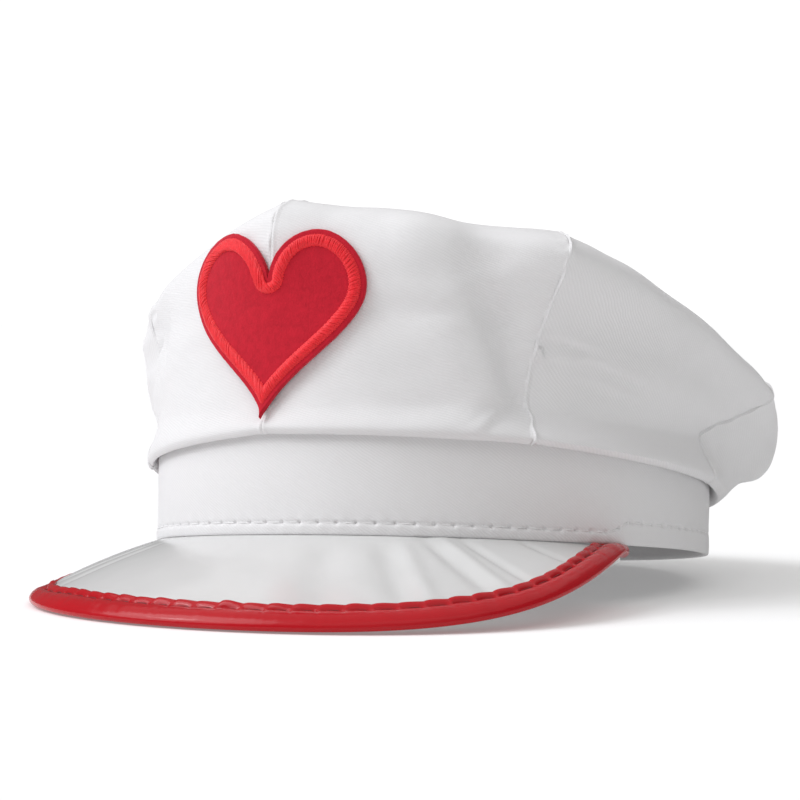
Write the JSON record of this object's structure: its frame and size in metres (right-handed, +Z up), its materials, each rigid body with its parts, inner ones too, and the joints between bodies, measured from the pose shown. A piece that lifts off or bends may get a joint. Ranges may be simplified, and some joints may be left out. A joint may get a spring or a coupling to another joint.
{
  "type": "peaked nurse cap",
  "caption": "Soft white twill nurse cap with a full crown of gores, an oval band, a stiff glossy peak with a red binding, and a red felt heart patch on the front.",
  "frame": {"origin": "on the table, under the middle of the cap's bounding box", "axes": "+Z up from the table, -Y towards the peak's front edge, +X towards the wearer's left"},
  "size_m": [0.1956, 0.2752, 0.1229],
  "materials": {
    "white_twill": "matt cotton twill",
    "white_vinyl": "smooth glossy vinyl",
    "red_vinyl": "glossy soft vinyl",
    "red_felt": "matt felt",
    "red_thread": "satin stitch thread"
  },
  "bodies": {
    "root": {"band": "white_twill", "crown_front_left": "white_twill", "crown_side_left": "white_twill", "crown_back_left": "white_twill", "crown_rear_left": "white_twill", "crown_rear_right": "white_twill", "crown_back_right": "white_twill", "crown_side_right": "white_twill", "crown_front_right": "white_twill", "peak": "white_vinyl", "peak_binding": "red_vinyl", "patch_felt": "red_felt", "patch_border": "red_thread"}
  },
  "joints": []
}
